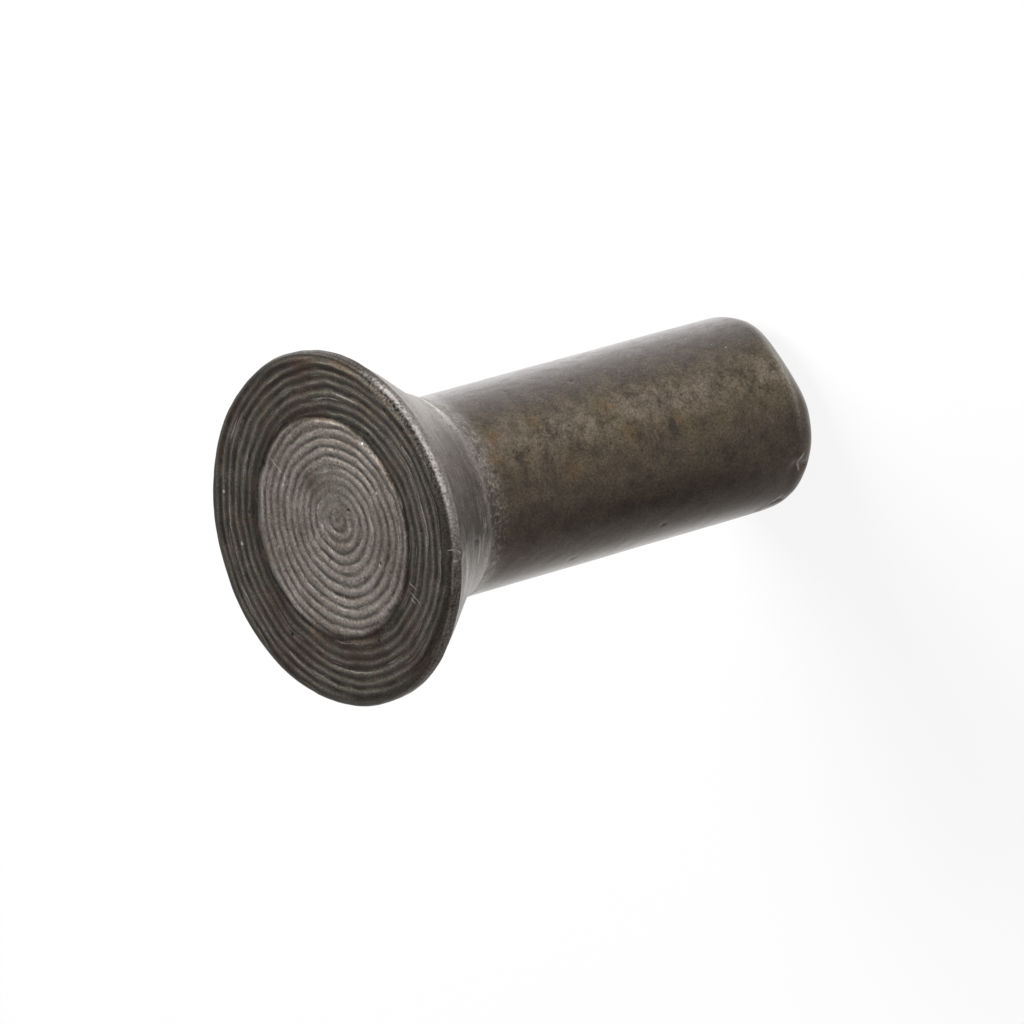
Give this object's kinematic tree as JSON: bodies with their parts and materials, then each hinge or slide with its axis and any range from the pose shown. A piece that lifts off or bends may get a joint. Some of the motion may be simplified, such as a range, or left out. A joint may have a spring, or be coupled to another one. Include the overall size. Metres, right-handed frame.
{
  "type": "countersunk solid rivet",
  "caption": "Plain steel solid rivet: flat countersunk head with concentric tool-mark rings on its face, a cone that seats in a countersink, and a plain round shank.",
  "frame": {"origin": "centre of the flat end of the shank, on which the rivet stands", "axes": "+Z along the rivet's axis, from the shank's free end to the head; X and Y are alike, because the rivet is round"},
  "size_m": [0.0088, 0.0088, 0.014],
  "materials": {
    "bare_steel": "plain cold-headed steel, dull grey-brown from oil and light rust, burnished on the cone and the rim"
  },
  "bodies": {
    "root": {"rivet": "bare_steel"}
  },
  "joints": []
}
